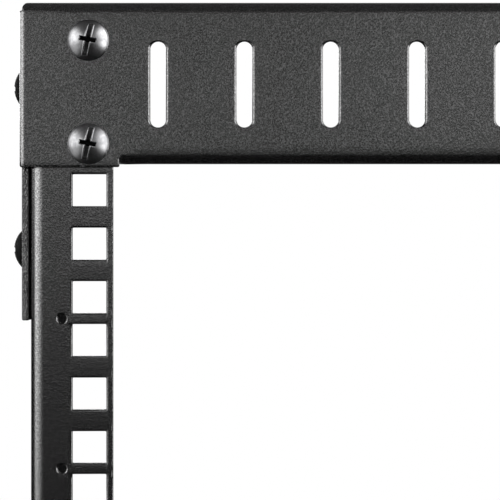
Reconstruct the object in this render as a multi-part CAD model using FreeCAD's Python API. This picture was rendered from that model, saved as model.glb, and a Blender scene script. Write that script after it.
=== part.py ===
"""Wall-mount open frame rack for 19-inch equipment, folded from steel sheet.

Millimetres, +Z up. The wall is the plane y = 0 and the rack's front faces -Y. The origin is the middle of the
upper wall bar's back face, level with the middle of the upper front plate.
"""
import FreeCAD
import Part
import math
import os

from FreeCAD import Vector

# Equipment space
RACK_UNITS = 12
HOLE_STEP = 15.875
UNIT_END_STEP = 12.7
RAIL_OPENING = 451.0
COLUMN_INSET = 7.05

# Sheet
SHEET = 2.2
BEND = 1.8
DEPTH = 300.0

# Rails
RAIL_MARGIN = 17.7
RAIL_DEPTH = 35.0
RAIL_LIP = 8.0
RAIL_END_GAP = 0.8
RAIL_SIDE_GAP = 0.6
SQUARE_WIDTH = 10.1
SQUARE_HEIGHT = 9.5
MARK_HOLE = 2.6
MARK_OFFSET = 8.1

# Front plates
PLATE_HEIGHT = 48.8
PLATE_UNIT_GAP = 0.4
PLATE_BEND = 0.3
OUTER_FLANGE = 20.0
OUTER_FLANGE_INSET = 0.8
OUTER_FLANGE_MITRE = 35.0
INNER_FLANGE = 14.0
INNER_FLANGE_RISE = 1.4
INNER_FLANGE_GAP = 2.0
INNER_FLANGE_BEND = 2.3
SIDE_FLANGE = 90.0
EAR_DROP = 45.55
EAR_SETBACK = 6.0
EAR_DEPTH = 38.0
SLOT_WIDTH = 5.0
SLOT_LENGTH = 25.0
SLOT_PITCH = 25.5
SLOTS_PER_SIDE = 6
FIRST_SLOT = 20.5

# Screw holes
SCREW_HOLE = 6.6
HOLE_SIDES = 12
FRONT_SCREW_EDGE = 6.85
FRONT_SCREW_PITCH = 30.5
SIDE_SCREW_DEPTH = 14.0
SIDE_SCREW_PITCH = 48.6
ARM_SCREW_DEPTH = 52.0
ARM_SCREW_PITCH = 25.0
WALL_SCREW_DEPTH = 20.0
WALL_SCREW_PITCH = 17.0

# Depth arms and wall bars
ARM_HEIGHT = 28.0
ARM_FLANGE = 12.0
ARM_START_GAP = 3.0
WALL_CLEARANCE = 12.0
WALL_BAR_HEIGHT = 17.0
WALL_BAR_TAB = 45.0
WALL_BAR_FLANGE = 18.0
WALL_BAR_FLANGE_GAP = 2.0
STUD_SPACING = 406.4
STUD_SLOT_WIDTH = 7.0
STUD_SLOT_LENGTH = 18.0

# Worked out from the sizes above
RACK_UNIT = UNIT_END_STEP + 2 * HOLE_STEP
PLATE_RADIUS = PLATE_BEND + SHEET
INNER_FLANGE_RADIUS = INNER_FLANGE_BEND + SHEET
COLUMN_X = RAIL_OPENING / 2 + COLUMN_INSET
RAIL_X = COLUMN_X + RAIL_MARGIN
SIDE_X = RAIL_X + RAIL_SIDE_GAP + SHEET
ARM_X = SIDE_X - SHEET
TAB_X = ARM_X - SHEET
FRONT_Y = -DEPTH
RAIL_FRONT_Y = FRONT_Y + SHEET
RAIL_BACK_Y = RAIL_FRONT_Y + RAIL_DEPTH
PLATE_TOP = PLATE_HEIGHT / 2
PLATE_LOW = -PLATE_HEIGHT / 2
UNITS_TOP = PLATE_LOW - PLATE_UNIT_GAP
MIDDLE_Z = UNITS_TOP - RACK_UNITS * RACK_UNIT / 2
RAIL_TOP = PLATE_TOP - PLATE_RADIUS - RAIL_END_GAP

ALONG_X = Vector(1, 0, 0)
ALONG_Y = Vector(0, 1, 0)
ALONG_Z = Vector(0, 0, 1)


def in_plan(z):
    """Places a flat outline (x, y) at height z."""
    return lambda u, v: Vector(u, v, z)


def in_side(x):
    """Places a flat outline (y, z) at the side position x."""
    return lambda u, v: Vector(x, u, v)


def in_front(y):
    """Places a flat outline (x, z) at the depth y."""
    return lambda u, v: Vector(u, y, v)


def outline_face(points, place):
    """A flat face inside straight edges."""
    corners = [place(u, v) for u, v in points]
    return Part.Face(Part.makePolygon(corners + corners[:1]))


def folded_face(corners, place, bend=BEND):
    """Section of a sheet folded at right angles along a line of corners, with sheet and turns to its left."""
    outer_radius = bend + SHEET
    line = [Vector(u, v, 0) for u, v in corners]
    runs = [(b - a).normalize() for a, b in zip(line, line[1:])]
    lefts = [Vector(-run.y, run.x, 0) for run in runs]
    outer = [line[0]]
    inner = [line[0] + lefts[0] * SHEET]
    for corner, run, left in zip(line[1:-1], runs, lefts):
        centre = corner + (left - run) * outer_radius
        for spoke in (left * -1, (run - left).normalize(), run):
            outer.append(centre + spoke * outer_radius)
            inner.append(centre + spoke * bend)
    outer.append(line[-1])
    inner.append(line[-1] + lefts[-1] * SHEET)
    edges = folded_edges(outer, place) + folded_edges(inner, place)
    for end in (0, -1):
        edges.append(Part.makeLine(place(outer[end].x, outer[end].y), place(inner[end].x, inner[end].y)))
    return Part.Face(Part.Wire(Part.__sortEdges__(edges)))


def folded_edges(points, place):
    """Straight runs and quarter-round bends through points, three of which belong to each bend."""
    spots = [place(p.x, p.y) for p in points]
    edges = []
    for start in range(1, len(spots) - 1, 3):
        edges.append(Part.Arc(*spots[start:start + 3]).toShape())
    for start in range(0, len(spots), 3):
        if (spots[start + 1] - spots[start]).Length > 1e-6:
            edges.append(Part.makeLine(spots[start], spots[start + 1]))
    return edges


def block(x_range, y_range, z_range):
    """A box between two values on each axis."""
    low = Vector(x_range[0], y_range[0], z_range[0])
    size = Vector(x_range[1], y_range[1], z_range[1]) - low
    return Part.makeBox(size.x, size.y, size.z, low)


def drilled_hole(diameter, centre, along):
    """A cutter of few sides for a small round hole through one sheet, or sheets that lie together."""
    reach = 4 * SHEET
    start = centre - along * reach
    up = ALONG_Z * (diameter / 2)
    across = along.cross(up)
    turns = [2 * math.pi * side / HOLE_SIDES for side in range(HOLE_SIDES)]
    rim = [start + up * math.cos(turn) + across * math.sin(turn) for turn in turns]
    return Part.Face(Part.makePolygon(rim + rim[:1])).extrude(along * 2 * reach)


def slot_cutter(width, length, centre, upright):
    """A cutter for a round-ended slot through a sheet that faces Y."""
    half_width = width / 2
    half_run = length / 2 - half_width
    across = ALONG_X if upright else ALONG_Z
    lengthwise = ALONG_Z if upright else ALONG_X
    start = centre - ALONG_Y * 2 * SHEET
    edges = []
    for way in (1, -1):
        end = start + lengthwise * half_run * way
        tip = end + lengthwise * half_width * way
        side = across * half_width * way
        edges.append(Part.Arc(end + side, tip, end - side).toShape())
        edges.append(Part.makeLine(end - side, start - lengthwise * half_run * way - side))
    return Part.Face(Part.Wire(Part.__sortEdges__(edges))).extrude(ALONG_Y * 4 * SHEET)


def turned_over(shape):
    """The same piece half turned about the rack's middle, so upper left becomes lower right."""
    copy = shape.copy()
    copy.rotate(Vector(0, 0, MIDDLE_Z), ALONG_Y, 180)
    return copy


def front_screw_points():
    """Middles of the two screws that hold the upper left corner of the front plate to its rail."""
    low = PLATE_LOW + FRONT_SCREW_EDGE
    return [Vector(-COLUMN_X, RAIL_FRONT_Y, z) for z in (low, low + FRONT_SCREW_PITCH)]


def side_screw_points():
    """Middles of the two screws through the upper left side flange and the rail's web."""
    return [Vector(-ARM_X, FRONT_Y + SIDE_SCREW_DEPTH, z) for z in (0, -SIDE_SCREW_PITCH)]


def arm_screw_points():
    """Middles of the two screws through the upper left side flange and its depth arm."""
    depths = (ARM_SCREW_DEPTH, ARM_SCREW_DEPTH + ARM_SCREW_PITCH)
    return [Vector(-ARM_X, FRONT_Y + depth, 0) for depth in depths]


def wall_screw_points():
    """Middles of the two screws through the upper left depth arm and the wall bar's tab."""
    depths = (WALL_SCREW_DEPTH, WALL_SCREW_DEPTH + WALL_SCREW_PITCH)
    return [Vector(-TAB_X, -depth, 0) for depth in depths]


def square_holes():
    """Cutters for the three square holes of each rack unit on the left rail."""
    cutters = []
    for unit in range(RACK_UNITS):
        first = UNITS_TOP - unit * RACK_UNIT - UNIT_END_STEP / 2
        for step in range(3):
            middle = first - step * HOLE_STEP
            cutters.append(block((-COLUMN_X - SQUARE_WIDTH / 2, -COLUMN_X + SQUARE_WIDTH / 2),
                                 (RAIL_FRONT_Y - SHEET, RAIL_FRONT_Y + 2 * SHEET),
                                 (middle - SQUARE_HEIGHT / 2, middle + SQUARE_HEIGHT / 2)))
    return cutters


def mark_holes():
    """Cutters for the small holes that mark each boundary between rack units on the left rail."""
    cutters = []
    for unit in range(1, RACK_UNITS):
        centre = Vector(-COLUMN_X - MARK_OFFSET, RAIL_FRONT_Y, UNITS_TOP - unit * RACK_UNIT)
        cutters.append(drilled_hole(MARK_HOLE, centre, ALONG_Y))
    return cutters


def rail():
    """The left rail: a channel with a wide perforated front, a web and a narrow lip at the back."""
    section = [(-RAIL_X + RAIL_LIP, RAIL_BACK_Y), (-RAIL_X, RAIL_BACK_Y), (-RAIL_X, RAIL_FRONT_Y),
               (-RAIL_OPENING / 2, RAIL_FRONT_Y)]
    bottom = 2 * MIDDLE_Z - RAIL_TOP
    channel = folded_face(section, in_plan(bottom)).extrude(ALONG_Z * (RAIL_TOP - bottom))
    upper = [drilled_hole(SCREW_HOLE, p, ALONG_Y) for p in front_screw_points()]
    upper += [drilled_hole(SCREW_HOLE, p, ALONG_X) for p in side_screw_points()]
    lower = [mirrored_down(cutter) for cutter in upper]
    return channel.cut(square_holes() + mark_holes() + upper + lower)


def mirrored_down(shape):
    """The same shape mirrored about the rack's middle height."""
    return shape.mirror(Vector(0, 0, MIDDLE_Z), ALONG_Z)


def mirrored_across(shape):
    """The same shape mirrored to the rack's other side."""
    return shape.mirror(Vector(0, 0, 0), ALONG_X)


def outer_flange():
    """The front plate's folded top edge, with mitred ends."""
    back = FRONT_Y + OUTER_FLANGE
    section = [(back, PLATE_TOP), (FRONT_Y, PLATE_TOP), (FRONT_Y, PLATE_TOP - PLATE_RADIUS)]
    strip = folded_face(section, in_side(-SIDE_X), PLATE_BEND).extrude(ALONG_X * 2 * SIDE_X)
    front_x = SIDE_X - OUTER_FLANGE_INSET
    back_x = front_x - OUTER_FLANGE * math.tan(math.radians(OUTER_FLANGE_MITRE))
    plan = [(-front_x, FRONT_Y), (front_x, FRONT_Y), (back_x, back), (-back_x, back)]
    return strip.common(outline_face(plan, in_plan(0)).extrude(ALONG_Z * PLATE_TOP))


def inner_flange(half_length):
    """The front plate's folded edge beside the equipment, between the rails."""
    edge = PLATE_LOW + INNER_FLANGE_RISE
    section = [(FRONT_Y, edge + INNER_FLANGE_RADIUS), (FRONT_Y, edge), (FRONT_Y + INNER_FLANGE, edge)]
    return folded_face(section, in_side(-half_length), INNER_FLANGE_BEND).extrude(ALONG_X * 2 * half_length)


def side_ear():
    """The part of the left side flange that reaches down past the plate, beside the rail."""
    front = FRONT_Y + EAR_SETBACK
    low = PLATE_LOW - EAR_DROP
    back_low, back_high = FRONT_Y + EAR_DEPTH, FRONT_Y + SIDE_FLANGE
    outline = [(front, PLATE_LOW), (front, low), (back_low, low), (back_high, PLATE_LOW)]
    return outline_face(outline, in_side(-SIDE_X)).extrude(ALONG_X * SHEET)


def plate_slots():
    """Cutters for the upright slots in the front plate, a row on each side of its plain middle."""
    cutters = []
    for index in range(SLOTS_PER_SIDE):
        x = COLUMN_X - FIRST_SLOT - index * SLOT_PITCH
        for side in (-1, 1):
            cutters.append(slot_cutter(SLOT_WIDTH, SLOT_LENGTH, Vector(side * x, FRONT_Y, 0), True))
    return cutters


def front_plate():
    """The upper front plate: a slotted face with four folded edges and an ear below each end."""
    back = FRONT_Y + SIDE_FLANGE
    section = [(-SIDE_X, back), (-SIDE_X, FRONT_Y), (SIDE_X, FRONT_Y), (SIDE_X, back)]
    height = PLATE_HEIGHT - PLATE_RADIUS
    wrap = folded_face(section, in_plan(PLATE_LOW), PLATE_BEND).extrude(ALONG_Z * height)
    inner_half = RAIL_OPENING / 2 - INNER_FLANGE_GAP
    trimmed = block((-inner_half, inner_half), (FRONT_Y - SHEET, FRONT_Y + 2 * SHEET),
                    (PLATE_LOW - SHEET, PLATE_LOW + INNER_FLANGE_RISE + INNER_FLANGE_RADIUS))
    ear = side_ear()
    folded = wrap.cut(trimmed).fuse([outer_flange(), inner_flange(inner_half), ear, mirrored_across(ear)])
    left = [drilled_hole(SCREW_HOLE, p, ALONG_Y) for p in front_screw_points()]
    left += [drilled_hole(SCREW_HOLE, p, ALONG_X) for p in side_screw_points() + arm_screw_points()]
    right = [mirrored_across(cutter) for cutter in left]
    return folded.cut(plate_slots() + left + right).removeSplitter()


def depth_arm():
    """The upper left depth arm: an angle from the front plate's side flange back to the wall bar."""
    half = ARM_HEIGHT / 2
    front = RAIL_BACK_Y + ARM_START_GAP
    section = [(-ARM_X + ARM_FLANGE, half), (-ARM_X, half), (-ARM_X, -half)]
    angle = folded_face(section, in_front(front)).extrude(ALONG_Y * (-WALL_CLEARANCE - front))
    return angle.cut([drilled_hole(SCREW_HOLE, p, ALONG_X) for p in arm_screw_points() + wall_screw_points()])


def wall_bar():
    """The upper wall bar: an angle on the wall with stud slots, and a tab at each end inside its arm."""
    half = WALL_BAR_HEIGHT / 2
    radius = BEND + SHEET
    section = [(TAB_X, -WALL_BAR_TAB), (TAB_X, 0), (-TAB_X, 0), (-TAB_X, -WALL_BAR_TAB)]
    wrap = folded_face(section, in_plan(-half)).extrude(ALONG_Z * WALL_BAR_HEIGHT)
    flange_half = TAB_X - radius - WALL_BAR_FLANGE_GAP
    trimmed = block((-flange_half, flange_half), (-2 * SHEET, SHEET), (-half - SHEET, radius - half))
    fold = [(-WALL_BAR_FLANGE, -half), (0, -half), (0, radius - half)]
    flange = folded_face(fold, in_side(-flange_half)).extrude(ALONG_X * 2 * flange_half)
    cutters = [slot_cutter(STUD_SLOT_WIDTH, STUD_SLOT_LENGTH, Vector(side * STUD_SPACING / 2, 0, 0), False)
               for side in (-1, 1)]
    holes = [drilled_hole(SCREW_HOLE, p, ALONG_X) for p in wall_screw_points()]
    cutters += holes + [mirrored_across(hole) for hole in holes]
    return wrap.cut(trimmed).fuse(flange).cut(cutters).removeSplitter()


def rack_pieces():
    """Every piece of the rack by name."""
    left_rail = rail()
    upper_plate = front_plate()
    left_arm = depth_arm()
    right_arm = mirrored_across(left_arm)
    upper_bar = wall_bar()
    return {
        "rail_left": left_rail,
        "rail_right": turned_over(left_rail),
        "front_plate_top": upper_plate,
        "front_plate_bottom": turned_over(upper_plate),
        "depth_arm_top_left": left_arm,
        "depth_arm_top_right": right_arm,
        "depth_arm_bottom_left": turned_over(right_arm),
        "depth_arm_bottom_right": turned_over(left_arm),
        "wall_bar_top": upper_bar,
        "wall_bar_bottom": turned_over(upper_bar),
    }


def main():
    os.makedirs("parts", exist_ok=True)
    for name, shape in rack_pieces().items():
        shape.exportStep(f"parts/{name}.step")


main()
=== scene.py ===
"""Wall-mount open frame rack in folded, powder coated steel sheet, with plated screws and nuts.

Metres, +Z up. The wall is the plane y = 0 and the front faces -Y. The lower half of the rack is the upper
half turned half round about a line along Y through the rack's middle.
"""
import math

import bpy
import numpy as np
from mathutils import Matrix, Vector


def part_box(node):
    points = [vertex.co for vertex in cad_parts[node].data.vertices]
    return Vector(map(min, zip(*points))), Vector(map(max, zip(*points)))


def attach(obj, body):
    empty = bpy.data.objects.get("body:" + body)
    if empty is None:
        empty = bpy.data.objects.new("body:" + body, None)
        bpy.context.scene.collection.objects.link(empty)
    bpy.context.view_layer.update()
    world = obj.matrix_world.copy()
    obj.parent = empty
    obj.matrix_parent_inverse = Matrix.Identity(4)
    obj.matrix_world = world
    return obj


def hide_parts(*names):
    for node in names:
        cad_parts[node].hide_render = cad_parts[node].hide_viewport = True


bl_info = {
    "name": "Open Frame Rack",
    "version": (1, 0, 0),
    "blender": (4, 5, 0),
    "location": "3D View > Sidebar > Rack",
    "description": "Folded steel rack with perforated rails, slotted front plates and a studio around it",
    "category": "Object",
}

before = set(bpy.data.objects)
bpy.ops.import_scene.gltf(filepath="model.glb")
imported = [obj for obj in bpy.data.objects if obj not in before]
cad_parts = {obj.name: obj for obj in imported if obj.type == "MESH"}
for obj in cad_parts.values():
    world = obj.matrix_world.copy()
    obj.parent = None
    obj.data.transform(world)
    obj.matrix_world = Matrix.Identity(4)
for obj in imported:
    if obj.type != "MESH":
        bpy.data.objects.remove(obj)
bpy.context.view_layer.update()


def node_box(name):
    """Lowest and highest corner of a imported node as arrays."""
    return tuple(np.array([float(value) for value in corner]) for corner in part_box(name))


PLATE_MIN, PLATE_MAX = node_box("front_plate_top")
RAIL_MIN, RAIL_MAX = node_box("rail_left")
ARM_MIN, ARM_MAX = node_box("depth_arm_top_left")
BAR_MIN, BAR_MAX = node_box("wall_bar_top")

MIDDLE_Z = (RAIL_MIN[2] + RAIL_MAX[2]) / 2
SIDE_X = PLATE_MAX[0]
FRONT_Y = PLATE_MIN[1]
PLATE_TOP = PLATE_MAX[2]
PLATE_LOW = -PLATE_TOP
RAIL_EDGE = -RAIL_MAX[0]

X_AXIS, Y_AXIS, Z_AXIS = np.eye(3)
TINY = 1e-6
BEND_STEPS = 10
HOLE_POINTS = 48
EIGHTH = HOLE_POINTS // 8

# Half sides of the blocks of cells that give way to screw holes, plate slots, unit marks and wall bar slots
SCREW_BLOCK = (0.005, 0.005)
SLOT_BLOCK = (0.0055, 0.015)
MARK_BLOCK = (0.00305, 0.003)
STUD_BLOCK = (0.011, 0.0043)

# Rings round a unit mark: extra radius and depth
MARK_DISH = ((0.00055, 0.0), (0.0002, 0.0002), (0.0, 0.0005))

# Share of a plate slot's rolled edge that is left at its ends
SLOT_END_ROLL = 0.25

# Lengths over which leads grow from the ends of the plate and of its inner flange
TOP_LEAD_GROWTH = 0.004
INNER_LEAD_GROWTH = 0.008

# Length over which a rail's strip flattens past a hole, and share of its width at which it is highest
STRIP_FADE = 0.0006
STRIP_CROWN = 0.4

# Inner radius of the tightest bend
TIGHT_BEND = 0.0002

# Grid steps across a screw head near the camera and elsewhere, place and width of the burr beside its slot
FINE_HEAD, PLAIN_HEAD = 95, 61
BURR_PLACE, BURR_WIDTH = 0.00018, 0.00013

# Taper of a screw's end, tight fit of a nut on its thread, and a nut's chamfers inside and outside
END_TAPER = 0.0003
NUT_FIT = 0.0002
BORE_CHAMFER = (0.0005, 0.0004)
NUT_CONE, NUT_CONE_SLOPE, NUT_CHAMFER = 0.95, 1.9, 0.0009
NUT_EDGE = 0.00012

# Gap between the rack and the floor
FLOOR_GAP = 0.0004

# Waves in a metre of torn cut edges, the coat's bloom, the steel's streaks and dull spots, and floor mottle
TEAR_SCALE, BLOOM_SCALE = 1900.0, 38.0
STREAK_SCALE, DULL_SCALE = 900.0, 240.0
MOTTLE_SCALE = 9.0

# Height of the tears in a cut edge, in heights of the grain, and the bloom's whole range of roughness
TEAR_HEIGHT = 15.0
BLOOM_RANGE = 0.06


def length(name, description, default, **more):
    """A size in metres that a user can set."""
    return bpy.props.FloatProperty(name=name, description=description, default=default, unit="LENGTH",
                                   precision=6, **more)


def lean(name, description, default):
    """The length and depth of a sheet's lean before a bend that a user can set."""
    return bpy.props.FloatVectorProperty(name=name, description=description, default=default, size=2,
                                         unit="LENGTH", precision=6)


def slant(name, description, default):
    """An angle that a user can set."""
    return bpy.props.FloatProperty(name=name, description=description, default=default, subtype="ANGLE")


def portion(name, description, default):
    """A value from 0 to 1 that a user can set."""
    return bpy.props.FloatProperty(name=name, description=description, default=default, min=0, max=1)


def brightness(name, description, default):
    """The brightness of a light that a user can set."""
    return bpy.props.FloatProperty(name=name, description=description, default=default, min=0)


def tint(name, description, default):
    """A colour that a user can set."""
    return bpy.props.FloatVectorProperty(name=name, description=description, default=default, size=3, min=0,
                                         max=1, subtype="COLOR")


class RackSheet(bpy.types.PropertyGroup):
    """Sizes of the folded sheet."""
    thickness: length("Sheet", "Thickness of the steel sheet", 0.0022, min=0.0005)
    side_radius: length("Side bend", "Outer radius of the front plate's side bends", 0.0018, min=0.0005)
    top_radius: length(
        "Top bend", "Outer radius of the front plate's bend away from the equipment", 0.0032, min=0.0023)
    top_flare: length("Top flare", "How far the top bend's ends reach out over the side bends", 0.0010)
    side_drop: length("Side drop", "How far the side flanges end below the plate's top", 0.0025)
    inner_radius: length(
        "Inner flange bend", "Outer radius of the plate's bend beside the equipment", 0.0023, min=0.0023)
    inner_lead: lean("Inner lead", "Length and depth of the lean before the inner bend", (0.0027, 0.00009))
    top_lead: lean("Top lead", "Length and depth of the lean before the top bend", (0.0013, 0.000012))
    frame_radius: length(
        "Frame bend", "Outer radius of the bends of rails, arms and wall bars", 0.0044, min=0.0023)
    plate_edge: length("Plate edge", "Rounding of the front plate's cut edges", 0.0005)
    rail_edge: length("Rail edge", "Rounding of the cut edges of all other sheets", 0.00028)
    outer_flange: length("Outer flange", "Depth of the front plate's edge away from the equipment", 0.020)
    outer_mitre: slant("Outer flange mitre", "Slant of the outer flange's ends", math.radians(35))
    inner_flange: length("Inner flange", "Depth of the front plate's edge beside the equipment", 0.014)
    inner_rise: length(
        "Inner flange rise", "How far the inner flange stays above the plate's flat ends", 0.0014)
    inner_gap: length("Inner flange gap", "Gap between the inner flange's ends and the rails", 0.0020)
    ear_depth: length("Ear depth", "Depth of the side flange's ear at its end", 0.038)
    ear_setback: length("Ear setback", "Distance of the ear's front edge behind the front", 0.006)
    rail_lip: length("Rail lip", "Width of the lip along a rail's back edge", 0.008)
    strip_roll: length(
        "Strip roll", "How far the rail's narrow strip is rolled back beside each square hole", 0.00030)
    bar_flange: length("Wall bar flange", "Depth of the wall bar's flange", 0.018)
    bar_flange_gap: length("Wall bar flange gap", "Gap between the wall bar's flange and its bends", 0.0020)


class RackHoles(bpy.types.PropertyGroup):
    """Sizes and places of the holes."""
    units: bpy.props.IntProperty(
        name="Rack units", description="Units of height between the front plates", default=12, min=1)
    hole_step: length("Hole step", "Distance between the square holes of one unit", 0.015875)
    unit_end_step: length("Unit end step", "Distance between square holes across a unit boundary", 0.0127)
    column_inset: length(
        "Column inset", "Distance from a rail's inner edge to its column of square holes", 0.00705)
    square_width: length("Square width", "Width of a square hole", 0.0101)
    square_height: length("Square height", "Height of a square hole", 0.0095)
    mark_radius: length("Mark radius", "Radius of the hole that marks a unit boundary", 0.0013)
    mark_offset: length("Mark offset", "Distance from the square holes' column to the marks", 0.0081)
    slot_radius: length("Slot radius", "Half the width of a plate slot", 0.0023)
    slot_roll: length("Slot roll", "Radius of a plate slot's rolled edge", 0.00095)
    slot_length: length("Slot length", "Length of a plate slot", 0.0255)
    slot_pitch: length("Slot pitch", "Distance between plate slots", 0.0255)
    first_slot: length("First slot", "Distance from the column of screws to the first slot", 0.0205)
    slots_per_side: bpy.props.IntProperty(
        name="Slots a side", description="Slots on each side of the plate's plain middle", default=6, min=0)
    screw_radius: length("Screw hole radius", "Radius of the holes for the rack's own screws", 0.0033)
    stud_spacing: length("Stud spacing", "Distance between the wall bar's slots", 0.4064)
    stud_radius: length("Stud slot radius", "Half the width of a wall bar slot", 0.0035)
    stud_length: length("Stud slot length", "Length of a wall bar slot", 0.018)
    front_screw_edge: length(
        "Front screw edge", "Distance from the plate's inner edge to the first front screw", 0.00685)
    front_screw_pitch: length("Front screw pitch", "Distance between a corner's two front screws", 0.0305)
    side_screw_depth: length("Side screw depth", "Distance of the side screws behind the front", 0.014)
    side_screw_pitch: length("Side screw pitch", "Distance between the two side screws of a corner", 0.0486)
    arm_screw_depth: length("Arm screw depth", "Distance of the first arm screw behind the front", 0.052)
    arm_screw_pitch: length("Arm screw pitch", "Distance between the two arm screws of a corner", 0.025)
    wall_screw_depth: length("Wall screw depth", "Distance of the first wall bar screw from the wall", 0.020)
    wall_screw_pitch: length("Wall screw pitch", "Distance between a corner's two wall bar screws", 0.017)


class RackScrews(bpy.types.PropertyGroup):
    """Sizes of the screws and nuts."""
    head_radius: length("Head radius", "Radius of a screw head", 0.0061)
    dome_height: length("Dome height", "Height of a head's dome over its skirt", 0.00275)
    skirt_height: length("Skirt height", "Height of a head's straight rim", 0.00035)
    drive_length: length("Drive length", "Length of the long slot in a head", 0.0097)
    drive_width: length("Drive width", "Width of the long slot in a head", 0.0013)
    cross_length: length("Cross length", "Length of the short slot across the long one", 0.0050)
    cross_width: length("Cross width", "Width of the short slot", 0.0011)
    drive_depth: length("Drive depth", "Depth of the short slot below a head's top", 0.0019)
    slot_depth: length("Slot depth", "Depth of the long slot below a head's top", 0.0011)
    pit_radius: length("Pit radius", "Radius of the pit where the slots cross", 0.0009)
    rim_radius: length("Rim radius", "Rounding of a head's rim", 0.0005)
    burr_height: length("Burr height", "Height of the burr along the long slot", 0.00012)
    tilt: slant("Tilt", "How far the long slot leans from upright", math.radians(11.4))
    shank_radius: length("Shank radius", "Outer radius of the thread", 0.0030)
    thread_pitch: length("Thread pitch", "Rise of the thread in one turn", 0.0010)
    end_length: length("End length", "Length of thread that shows past a nut", 0.0016)
    nut_width: length("Nut width", "Width of a nut across its flats", 0.0100)
    nut_height: length("Nut height", "Thickness of a nut", 0.0050)


class RackFinish(bpy.types.PropertyGroup):
    """Colours and textures of the powder coat and the plated steel."""
    coat_dark: tint(
        "Coat, hollows", "Powder coat colour in the hollows of its grain", (0.0022, 0.0022, 0.0022))
    coat_light: tint(
        "Coat, crests", "Powder coat colour on the crests of its grain", (0.0120, 0.0120, 0.0122))
    crest_roughness: portion("Crest roughness", "Mean roughness of the coat on its grain's crests", 0.165)
    hollow_roughness: portion("Hollow roughness", "Mean roughness of the coat between the crests", 0.235)
    hollow_gloss: portion(
        "Hollow gloss", "Gloss in the hollows of the coat's grain, where 1 is that of its crests", 0.52)
    grain_scale: bpy.props.FloatProperty(
        name="Grain", description="Grains of the powder coat in a metre", default=2800.0, min=1)
    grain_height: length("Grain height", "Height of the powder coat's grain", 0.000044)
    steel_light: tint("Steel", "Colour of the plated steel", (0.170, 0.170, 0.173))
    steel_dark: tint("Steel, worn", "Colour of the plated steel where it is dull", (0.130, 0.130, 0.133))
    steel_roughness: portion("Steel roughness", "Mean roughness of the plated steel", 0.34)


class RackStage(bpy.types.PropertyGroup):
    """Floor, light and camera."""
    floor_colour: tint("Floor", "Colour of the floor", (0.82, 0.82, 0.81))
    floor_radius: length("Floor radius", "Radius of the round floor", 2.8)
    floor_lift: portion("Floor lift", "Share of white added to the floor where the camera sees it", 0.45)
    side_light: brightness("Side boxes", "Brightness of the soft boxes left and right", 7.4)
    front_light: brightness("Front box", "Brightness of the soft box behind the camera", 1.09)
    rear_light: brightness("Rear boxes", "Brightness of the soft boxes behind the rack", 4.5)
    ceiling_light: brightness("Ceiling", "Brightness of the room over the soft boxes", 0.12)
    room_light: brightness("Room", "Brightness of the room between the soft boxes", 0.01)
    even_light: brightness("Even light", "Brightness of the light that matt surfaces get all round", 0.45)
    top_light: brightness("Top panel", "Brightness of the panel over the rack", 1.5)
    lens: bpy.props.FloatProperty(
        name="Lens", description="Focal length of the camera in millimetres", default=122.1, min=1)
    camera_place: bpy.props.FloatVectorProperty(
        name="Camera", description="Place of the camera", default=(-0.1849, -0.800, -0.0489), size=3,
        subtype="TRANSLATION")


class Fold:
    """A sheet folded at right angles, read by its outer face laid out flat.

    The flat length u goes through straight runs with a quarter bend to the left between each two. In a run
    the point moves along the heading. In a bend of radius r, at angle a, it moves r sin(a) along the old
    heading and r (1 - cos(a)) along the new one. The width v moves it along ahead x left, and depth moves it
    to the left. Where the bend is tighter than the sheet is thick, tuck is the share of the depth in a bend
    that goes straight to the inner corner, along the new heading less the old one.
    """

    def __init__(self, origin, ahead, left, runs, radius, tuck=0.0):
        self.origin = np.array(origin, float)
        self.basis = np.array([ahead, left, np.cross(ahead, left)])
        self.runs = list(runs)
        self.radius = radius
        self.tuck = tuck
        self.quarter = math.pi / 2 * radius
        self.starts = [sum(self.runs[:index]) + index * self.quarter for index in range(len(self.runs))]
        self.length = self.starts[-1] + self.runs[-1]

    def at(self, run, distance):
        """Flat length of a place on one of the runs."""
        return self.starts[run] + distance

    def lines(self, extra=()):
        """Flat lengths of the runs' ends, of even steps through the bends and of the extra ones."""
        found = [0.0, self.length, *extra]
        for start in self.starts[1:]:
            found.extend(start - self.quarter * np.linspace(0, 1, BEND_STEPS + 1))
        return tidy_lines(found)

    def place(self, u, v, depth):
        """Points in space of flat places (u, v) at a depth in the sheet."""
        heading = np.array([1.0, 0.0])
        flat = np.zeros(u.shape + (2,))
        inwards = np.zeros(u.shape + (2,))
        turned_by = np.zeros(u.shape)
        for run, start in zip(self.runs, self.starts):
            if start > 0:
                turned = np.array([-heading[1], heading[0]])
                angle = np.clip((u - start + self.quarter) / self.radius, 0, math.pi / 2)
                flat += self.radius * np.multiply.outer(np.sin(angle), heading)
                flat += self.radius * np.multiply.outer(1 - np.cos(angle), turned)
                turned_by += angle
                bent = (u > start - self.quarter - TINY) & (u < start + TINY)
                inwards += np.multiply.outer(self.tuck * bent, turned - heading)
                heading = turned
            flat += np.multiply.outer(np.clip(u - start, 0, run), heading)
        across = np.stack([-np.sin(turned_by), np.cos(turned_by)], axis=-1)
        share = np.where(np.any(inwards != 0, axis=-1), 1 - self.tuck, 1.0)
        flat += depth[..., None] * (share[..., None] * across + inwards)
        return self.origin + np.concatenate([flat, v[..., None]], axis=-1) @ self.basis


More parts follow.
